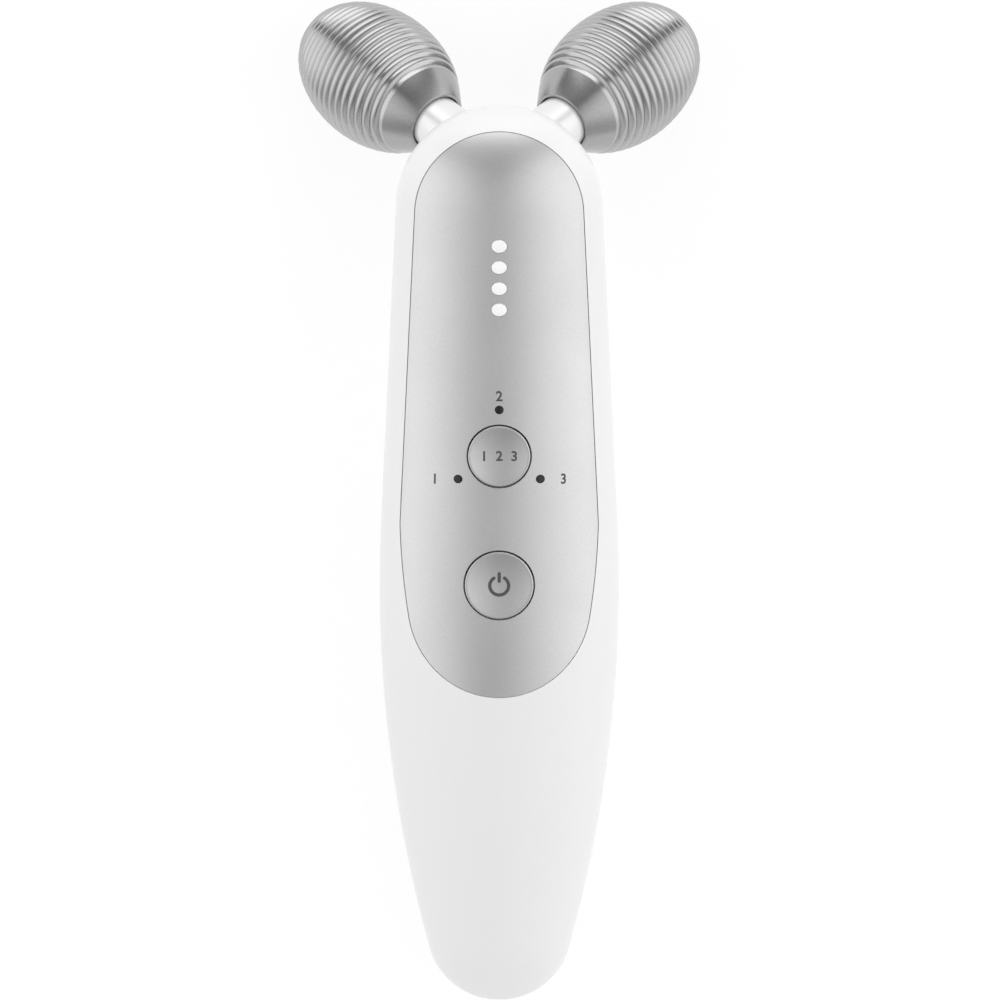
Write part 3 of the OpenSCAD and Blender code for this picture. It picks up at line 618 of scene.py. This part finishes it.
GUIDE_LOW = 4.1
GUIDE_HIGH = 6.3
level_guide = rod(LEVEL_LIGHT[0], GUIDE_LOW, 30, (0, LEVEL_LIGHTS_AT[0]), width=LEVEL_LIGHT[1], sides=64,
                  name="level_light_windows")
for y in LEVEL_LIGHTS_AT[1:]:
    join(level_guide, rod(LEVEL_LIGHT[0], GUIDE_LOW, 30, (0, y), width=LEVEL_LIGHT[1], sides=64))
cut(level_guide, egg("skin", SKIN, FRONT_DEPTH), "INTERSECT")
LEVEL_RUN = (LEVEL_LIGHTS_AT[0] - 2.3, LEVEL_LIGHTS_AT[-1] + 2.3)
bar = block("bar", [(-3.1, LEVEL_RUN[0]), (3.1, LEVEL_RUN[0]), (3.1, LEVEL_RUN[1]), (-3.1, LEVEL_RUN[1])],
            GUIDE_LOW, GUIDE_HIGH)
legs = [block("leg", [(-3.1, y), (3.1, y), (3.1, y + 0.8), (-3.1, y + 0.8)], BOARD_TOP, GUIDE_LOW)
        for y in (LEVEL_RUN[0], LEVEL_RUN[1] - 0.8)]
for tool in (bar, *legs):
    cut(level_guide, tool, "UNION")
soften(level_guide, 0.06)
smooth(level_guide)
# the level windows take the light guide finish, with its faint painted glow
settle(level_guide, light_guide, "handle", replaces=["level_light_guide"])

RING_LOW = 5.1
mode_guide = turn("mode_light_windows", [(MODE_LIGHT_REACH - 0.7, RING_LOW), (MODE_LIGHT_REACH + 1.4, RING_LOW),
                                         (MODE_LIGHT_REACH + 1.4, RING_LOW + 1.4),
                                         (MODE_LIGHT_REACH - 0.7, RING_LOW + 1.4),
                                         (MODE_LIGHT_REACH - 0.7, RING_LOW)], 96)
mode_guide.location = (0, MODE_AT, 0)
take(mode_guide)
bpy.ops.object.transform_apply(location=True, rotation=True, scale=True)
for x, y in mode_lights(30):
    cut(mode_guide, rod(0.6, BOARD_TOP, RING_LOW + 0.7, (x, y), sides=32), "UNION")
for x, y in mode_lights():
    window = rod(MODE_LIGHT_RADIUS, RING_LOW + 0.5, 30, (x, y), sides=48)
    cut(window, egg("skin", SKIN, FRONT_DEPTH), "INTERSECT")
    cut(mode_guide, window, "UNION")
soften(mode_guide, 0.05)
smooth(mode_guide)
settle(mode_guide, dark_window, "handle", replaces=["mode_light_guide"])


# ------------------------------------------------------------------------------------------------
# Printed marks: plain numerals at the three lights, and the common power sign
# ------------------------------------------------------------------------------------------------
PRINT_LIFT = 0.012
PRINT_THICKNESS = 0.01


def lay_on(piece, carrier):
    """Wraps a flat print, drawn above its carrier, onto the surface below it."""
    take(piece)
    bpy.ops.object.mode_set(mode="EDIT")
    bpy.ops.mesh.select_all(action="SELECT")
    bpy.ops.mesh.quads_convert_to_tris()
    bpy.ops.mesh.subdivide(number_cuts=3)
    bpy.ops.object.mode_set(mode="OBJECT")
    piece.matrix_world = REST
    bpy.ops.object.transform_apply(location=True, rotation=True, scale=True)
    wrap = piece.modifiers.new("wrap", "SHRINKWRAP")
    wrap.target = carrier
    wrap.wrap_method = "NEAREST_SURFACEPOINT"
    wrap.wrap_mode = "ABOVE_SURFACE"
    wrap.offset = PRINT_LIFT * 0.001
    bpy.ops.object.modifier_apply(modifier=wrap.name)
    take(piece)
    thick = piece.modifiers.new("thick", "SOLIDIFY")
    thick.thickness = PRINT_THICKNESS * 0.001
    thick.offset = -1
    bpy.ops.object.modifier_apply(modifier=thick.name)
    return piece


def printed(piece, carrier, body):
    lay_on(piece, carrier)
    piece.data.materials.clear()
    piece.data.materials.append(print_ink)
    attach(piece, body)
    return piece


def figures(text, x, y, height, name, size=2.85):
    """Plain figures, a little bold, drawn flat above their place."""
    bpy.ops.object.select_all(action="DESELECT")
    bpy.ops.object.text_add(location=(x, y, height + 0.05))
    piece = bpy.context.active_object
    piece.data.body = text
    piece.data.size = size
    piece.data.offset = 0.024 * size
    piece.data.space_character = 1.3
    piece.data.align_x = "CENTER"
    piece.data.align_y = "CENTER"
    bpy.ops.object.convert(target="MESH")
    piece = added(name)
    bpy.ops.object.transform_apply(location=True, rotation=True, scale=True)
    return piece


for text, x, y in (("1", -12.9, 109.6), ("2", 0, 126.9), ("3", 12.9, 109.6)):
    printed(figures(text, x, y, front_height(x, y), "figure_" + text), control_panel, "handle")
printed(figures("1 2 3", 0, MODE_AT - 0.1, front_height(0, MODE_AT), "figures_on_button", 2.75),
        mode_button, "mode_button")

SIGN_RADIUS = 1.86
SIGN_STROKE = 0.66
SIGN_CENTRE = (0.0, POWER_AT - 0.15)
SIGN_OPENING = 34


def power_sign():
    height = front_height(0, POWER_AT) + 0.05
    opening = math.radians(SIGN_OPENING)
    start = Vector((math.sin(opening), math.cos(opening)))
    inner, outer = SIGN_RADIUS - SIGN_STROKE / 2, SIGN_RADIUS + SIGN_STROKE / 2
    piece = draw_line("power_sign", [(inner * start.x, inner * start.y, 0), (outer * start.x, outer * start.y, 0)])
    bpy.ops.mesh.select_all(action="SELECT")
    bpy.ops.mesh.spin(steps=48, angle=2 * math.pi - 2 * opening, center=(0, 0, 0), axis=(0, 0, 1))
    bpy.ops.object.mode_set(mode="OBJECT")
    ends = []
    for side in (-1, 1):
        bpy.ops.object.select_all(action="DESELECT")
        bpy.ops.mesh.primitive_circle_add(
            vertices=24, radius=SIGN_STROKE / 2, fill_type="NGON",
            location=(side * SIGN_RADIUS * start.x, SIGN_RADIUS * start.y, 0))
        ends.append(added("end"))
    for y in (0.9, 2.45):
        bpy.ops.object.select_all(action="DESELECT")
        bpy.ops.mesh.primitive_circle_add(vertices=24, radius=SIGN_STROKE / 2, fill_type="NGON",
                                          location=(0, y, 0))
        ends.append(added("end"))
    half = SIGN_STROKE / 2
    bar = block("bar", [(-half, 0.9), (half, 0.9), (half, 2.45), (-half, 2.45)], 0, 0.001)
    take(bar)
    bpy.ops.object.mode_set(mode="EDIT")
    pick("verts", lambda v: v.co.z > 0.0005)
    bpy.ops.mesh.delete(type="VERT")
    bpy.ops.object.mode_set(mode="OBJECT")
    join(piece, bar, *ends)
    piece.location = (SIGN_CENTRE[0], SIGN_CENTRE[1], height)
    take(piece)
    bpy.ops.object.transform_apply(location=True, rotation=True, scale=True)
    return piece


printed(power_sign(), power_button, "power_button")


# ------------------------------------------------------------------------------------------------
# Rollers and necks, along each roller's axis from where the two axes meet
# ------------------------------------------------------------------------------------------------
ROLLER_MID = NECK_LENGTH + MOUTH_TO_CENTRE
COLLAR_EDGE = COLLAR_LENGTH - MOUTH_TO_CENTRE
RIBS = math.floor((ROLLER_HALF_LENGTH - ROLLER_TIP - COLLAR_EDGE - RIB_PITCH / 2) / RIB_PITCH)
BEARING_END = ROLLER_MID + 14.2
BOSS_START = 11.5


def egg_radius(u, wall=0.0):
    return (ROLLER_RADIUS - wall) * math.sqrt(max(0, 1 - (u / (ROLLER_HALF_LENGTH - wall)) ** 2))


def egg_point(u, depth=0.0):
    """A point of the roller's outline, sunk by a depth along the surface's normal."""
    depth += HAIR / 2
    radius = egg_radius(u)
    normal = Vector((radius / ROLLER_RADIUS ** 2, u / ROLLER_HALF_LENGTH ** 2)).normalized()
    return radius - depth * normal.x, ROLLER_MID + u - depth * normal.y


def rib_depth(phase):
    return GROOVE_DEPTH * (1 - abs(math.sin(math.pi * phase)))


def ribbed_outline():
    phases = (0, 0.05, 0.12, 0.22, 0.34, 0.5, 0.66, 0.78, 0.88, 0.95)
    points = [egg_point(COLLAR_EDGE), egg_point(COLLAR_EDGE + RIB_PITCH * 0.12, 0.02)]
    points += [egg_point(COLLAR_EDGE + (k + 0.5 + f) * RIB_PITCH, rib_depth(f))
               for k in range(RIBS) for f in phases]
    last = COLLAR_EDGE + (RIBS + 0.5) * RIB_PITCH
    points += [egg_point(last, GROOVE_DEPTH)]
    points += [egg_point(last + (ROLLER_HALF_LENGTH - last) * math.sin(math.radians(90 * i / 14)),
                         GROOVE_DEPTH * (1 - math.sin(math.radians(90 * min(1, i / 3)))))
               for i in range(1, 15)]
    points[-1] = (0, ROLLER_MID + ROLLER_HALF_LENGTH)
    inside = [(egg_radius(COLLAR_EDGE + (BOSS_START - COLLAR_EDGE) * i / 12, ROLLER_WALL),
               ROLLER_MID + COLLAR_EDGE + (BOSS_START - COLLAR_EDGE) * i / 12) for i in range(13)]
    bore = [(0, BEARING_END), (BEARING_RADIUS, BEARING_END), (BEARING_RADIUS, ROLLER_MID + BOSS_START)]
    return bore + list(reversed(inside)) + points


def collar_outline():
    """The smooth end of the roller: a crisp outer edge, a bevelled mouth and a deep floor."""
    spigot = egg_radius(COLLAR_EDGE, ROLLER_WALL)
    start = NECK_LENGTH
    floor = start + MOUTH_DEPTH
    mouth = MOUTH_RADIUS - MOUTH_WALL
    back = ROLLER_MID + COLLAR_EDGE
    edge = egg_point(COLLAR_EDGE)
    return ([(BEARING_RADIUS, floor), (mouth, floor), (mouth, start + 0.18), (mouth + 0.04, start + 0.06),
             (mouth + 0.12, start + 0.01), (MOUTH_RADIUS - 0.04, start + 0.03), (MOUTH_RADIUS + 0.05, start + 0.12),
             (edge[0] - 0.06, edge[1] - 0.1), edge, (spigot, back), (spigot, back + 2.5), (BEARING_RADIUS, back + 2.5), (BEARING_RADIUS, floor)])


def sleeve_outline():
    inside, outside = NECK_BORE, NECK_RADIUS
    return ([(inside, SLEEVE_START), (outside - 0.1, SLEEVE_START), (outside, SLEEVE_START + 0.1)]
            + [(outside, SLEEVE_START + 0.1 + (SLEEVE_END - SLEEVE_START - 0.5) * i / 8) for i in range(1, 9)]
            + arc((outside - 0.4, SLEEVE_END - 0.4), 0.4, 0, 90, 6)[1:]
            + [(inside, SLEEVE_END), (inside, SLEEVE_START)])


for side, label in ((-1, "left"), (1, "right")):
    ribbed = turn(f"{label}_ribbed_roller", ribbed_outline(), 144)
    smooth(ribbed, 50)
    settle(ribbed, plating[side], f"{label}_roller", neck(side), [f"{label}_ribbed_shell"])
    collar = turn(f"{label}_roller_end", collar_outline(), 144)
    smooth(collar, 30)
    settle(collar, collar_metal[side], f"{label}_roller", neck(side), [f"{label}_roller_collar"])
    sleeve = turn(f"{label}_neck_cover", sleeve_outline(), 96)
    smooth(sleeve, 30)
    settle(sleeve, pearl_neck, "handle", neck(side), [f"{label}_neck_sleeve"])

# ------------------------------------------------------------------------------------------------
# Finishes of the inner pieces, which keep their own solids
# ------------------------------------------------------------------------------------------------
INNER = {
    "grey_seal": finish("grey_seal", grey(0.12), grey(0.09), (0.6, 0.7)),
    "board_green": finish("board_green", (0.02, 0.16, 0.06, 1), (0.015, 0.12, 0.045, 1), (0.35, 0.5)),
    "switch_grey": finish("switch_grey", grey(0.05), grey(0.035), (0.4, 0.5)),
    "ivory_plastic": finish("ivory_plastic", (0.72, 0.68, 0.56, 1), (0.66, 0.62, 0.5, 1), (0.4, 0.5)),
    "light_chip": finish("light_chip", (0.9, 0.8, 0.35, 1), (0.85, 0.72, 0.28, 1), (0.1, 0.2)),
    "chip_black": finish("chip_black", grey(0.02), grey(0.012), (0.5, 0.6)),
    "wound_copper": finish("wound_copper", (0.6, 0.24, 0.1, 1), (0.45, 0.16, 0.06, 1), (0.3, 0.4), Metallic=1.0),
    "capacitor_tan": finish("capacitor_tan", (0.5, 0.36, 0.16, 1), (0.45, 0.31, 0.13, 1), (0.4, 0.5)),
    "cell_sleeve": finish("cell_sleeve", (0.05, 0.16, 0.45, 1), (0.04, 0.13, 0.4, 1), (0.2, 0.3)),
    "inner_plastic": finish("inner_plastic", grey(0.62), grey(0.57), (0.45, 0.55)),
    "foam_grey": finish("foam_grey", grey(0.16), grey(0.06), (0.85, 0.95), (1500.0, 0.8, 0.0002)),
    "socket_grey": finish("socket_grey", grey(0.06), grey(0.045), (0.35, 0.45)),
    "screw_steel": finish("screw_steel", grey(0.6), grey(0.5), (0.25, 0.35), Metallic=1.0),
    "lead_red": finish("lead_red", (0.5, 0.03, 0.03, 1), (0.42, 0.02, 0.02, 1), (0.4, 0.5)),
    "lead_black": finish("lead_black", grey(0.02), grey(0.014), (0.4, 0.5)),
    "axle_steel": finish("axle_steel", grey(0.62), grey(0.55), (0.15, 0.22), Metallic=1.0),
    "bearing_brass": finish("bearing_brass", (0.7, 0.5, 0.2, 1), (0.62, 0.43, 0.16, 1), (0.25, 0.35), Metallic=1.0),
    "bush_bronze": finish("bush_bronze", (0.5, 0.28, 0.12, 1), (0.38, 0.2, 0.08, 1), (0.4, 0.5), Metallic=1.0),
    "washer_grey": finish("washer_grey", grey(0.1), grey(0.08), (0.45, 0.55)),
}
for part in frame["record"]["subparts"]:
    if part["material_slot"] in INNER:
        piece = nodes[part["node"]]
        piece.data.materials.clear()
        piece.data.materials.append(INNER[part["material_slot"]])

# ------------------------------------------------------------------------------------------------
# Floor, light and camera
# ------------------------------------------------------------------------------------------------
bpy.ops.object.select_all(action="DESELECT")
bpy.ops.mesh.primitive_plane_add(size=40, location=(0, 0, -0.00005))
floor = added("floor")
pale = bpy.data.materials.new("pale_floor")
pale.use_nodes = True
tree = pale.node_tree
shader = tree.nodes["Principled BSDF"]
shader.inputs["Base Color"].default_value = grey(0.85)
shader.inputs["Roughness"].default_value = 0.9
shader.inputs["Specular IOR Level"].default_value = 0.1
output = tree.nodes["Material Output"]
path = tree.nodes.new("ShaderNodeLightPath")
seen = node(tree, "ShaderNodeEmission", {"Color": grey(1.0), "Strength": 1.08})
veil = node(tree, "ShaderNodeMixShader", {"Fac": 0.8})
tree.links.new(shader.outputs[0], veil.inputs[1])
tree.links.new(seen.outputs[0], veil.inputs[2])
choose = tree.nodes.new("ShaderNodeMixShader")
either = node(tree, "ShaderNodeMath", {0: path.outputs["Is Camera Ray"], 1: path.outputs["Is Glossy Ray"]},
              operation="MAXIMUM")
tree.links.new(either.outputs[0], choose.inputs[0])
tree.links.new(shader.outputs[0], choose.inputs[1])
tree.links.new(veil.outputs[0], choose.inputs[2])
behind = tree.nodes.new("ShaderNodeMixShader")
clear = tree.nodes.new("ShaderNodeBsdfTransparent")
tree.links.new(tree.nodes.new("ShaderNodeNewGeometry").outputs["Backfacing"], behind.inputs[0])
tree.links.new(choose.outputs[0], behind.inputs[1])
tree.links.new(clear.outputs[0], behind.inputs[2])
tree.links.new(behind.outputs[0], output.inputs[0])
floor.data.materials.append(pale)

# a pale tent all round
world = bpy.data.worlds.new("tent")
bpy.context.scene.world = world
world.use_nodes = True
tree = world.node_tree
tree.nodes.clear()
way = node(tree, "ShaderNodeTexCoord").outputs["Generated"]
parts = node(tree, "ShaderNodeSeparateXYZ", {"Vector": way})
across, along = parts.outputs["X"], parts.outputs["Y"]


def sum_of(a, b, how="ADD"):
    return node(tree, "ShaderNodeMath", {0: a, 1: b}, operation=how).outputs[0]


def fade(value, start, end, low, high, shape="SMOOTHSTEP"):
    return node(tree, "ShaderNodeMapRange",
                {"Value": value, "From Min": start, "From Max": end, "To Min": low, "To Max": high},
                interpolation_type=shape).outputs["Result"]


# a dark ridge runs along the tent over the device
TENT_LIGHT = 1.94
RIDGE = ((0.03, 0.20), (0.2, 0.39), (0.4, 0.55), (0.6, 0.65), (0.8, 0.71), (1.0, 0.76))
RIDGE_SHIFT = 0.065
RIDGE_END = (0.60, 0.85)
RIDGE_START = (-0.70, -0.95)
aside = node(tree, "ShaderNodeMath", {0: sum_of(across, RIDGE_SHIFT)}, operation="ABSOLUTE").outputs[0]
profile = node(tree, "ShaderNodeValToRGB", {"Fac": aside})
ramp = profile.color_ramp
ramp.elements[0].position, ramp.elements[1].position = RIDGE[0][0], RIDGE[-1][0]
for place, _ in RIDGE[1:-1]:
    ramp.elements.new(place)
for stop, (_, shade_level) in zip(ramp.elements, RIDGE):
    stop.color = grey(shade_level)
ridge = sum_of(profile.outputs["Color"], fade(along, *RIDGE_END, 0.0, 1.0), "MAXIMUM")
ridge = sum_of(ridge, fade(along, *RIDGE_START, 0.0, 0.8), "MAXIMUM")
# beyond the head it forks, one arm going down behind each roller
ARM_PLANE = (-0.695, 0.712, -0.1)
ARM = (0.06, 0.27, 0.10, 1.0)
low_way = node(tree, "ShaderNodeCombineXYZ", {"X": aside, "Y": along, "Z": parts.outputs["Z"]})
off_arm = node(tree, "ShaderNodeVectorMath", {0: low_way.outputs[0], 1: ARM_PLANE}, operation="DOT_PRODUCT")
off_arm = node(tree, "ShaderNodeMath", {0: off_arm.outputs["Value"]}, operation="ABSOLUTE").outputs[0]
ridge = sum_of(ridge, fade(off_arm, *ARM), "MINIMUM")
# the tent gets darker towards the tail
TAIL_SHADE = (-0.35, -0.8, 1.0, 0.5)
ridge = sum_of(ridge, fade(along, *TAIL_SHADE), "MULTIPLY")
slope = sum_of(sum_of(across, 0.02, "MULTIPLY"), TENT_LIGHT)
level = sum_of(ridge, slope, "MULTIPLY")
tent = node(tree, "ShaderNodeBackground", {"Color": grey(1.0), "Strength": level})
white = node(tree, "ShaderNodeBackground", {"Color": grey(1.0), "Strength": 1.0})
path = tree.nodes.new("ShaderNodeLightPath")
choose = tree.nodes.new("ShaderNodeMixShader")
tree.links.new(path.outputs["Is Camera Ray"], choose.inputs[0])
tree.links.new(tent.outputs[0], choose.inputs[1])
tree.links.new(white.outputs[0], choose.inputs[2])
tree.links.new(choose.outputs[0], tree.nodes.new("ShaderNodeOutputWorld").inputs[0])

CAMERA_LENS = 1400
PHOTO_WIDTH = 0.2
PHOTO_CENTRE = (0.00016, 0.00014)
SHARP_HEIGHT = 0.047
camera = bpy.data.objects.new("camera", bpy.data.cameras.new("camera"))
bpy.context.scene.collection.objects.link(camera)
camera.data.lens = CAMERA_LENS
distance = CAMERA_LENS / camera.data.sensor_width * PHOTO_WIDTH
camera.location = (PHOTO_CENTRE[0], PHOTO_CENTRE[1], SHARP_HEIGHT + distance)
camera.data.clip_start = 0.5
camera.data.clip_end = 50
bpy.context.scene.camera = camera
bpy.context.scene.view_settings.view_transform = "Standard"
